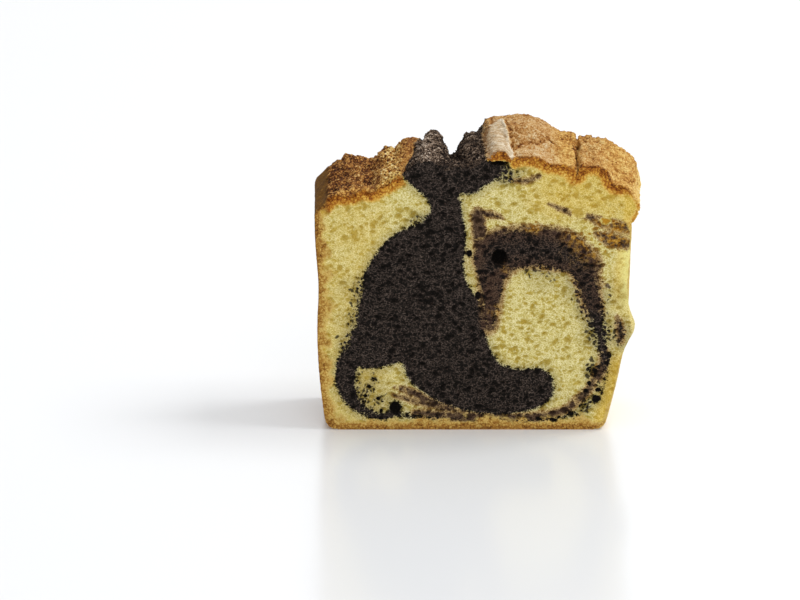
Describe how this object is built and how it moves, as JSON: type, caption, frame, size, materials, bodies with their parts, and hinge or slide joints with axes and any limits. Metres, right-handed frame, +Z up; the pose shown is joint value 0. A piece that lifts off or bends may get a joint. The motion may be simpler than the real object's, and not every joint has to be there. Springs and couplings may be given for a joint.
{
  "type": "marble loaf cake slice",
  "caption": "Thick upright slice of vanilla and cocoa marble loaf cake, with a cracked domed crust and swirled dark crumb on its cut faces.",
  "frame": {"origin": "on the surface it stands on, under the middle of the slice's bounding box", "axes": "+X across the slice from the left wall to the right wall, +Y from the front cut to the rear cut, +Z up"},
  "size_m": [0.104, 0.03, 0.096],
  "materials": {
    "cake": "soft sponge crumb, pale yellow with near-black cocoa swirls, under a matt golden-brown crust"
  },
  "bodies": {
    "root": {"cake_slice": "cake"}
  },
  "joints": []
}
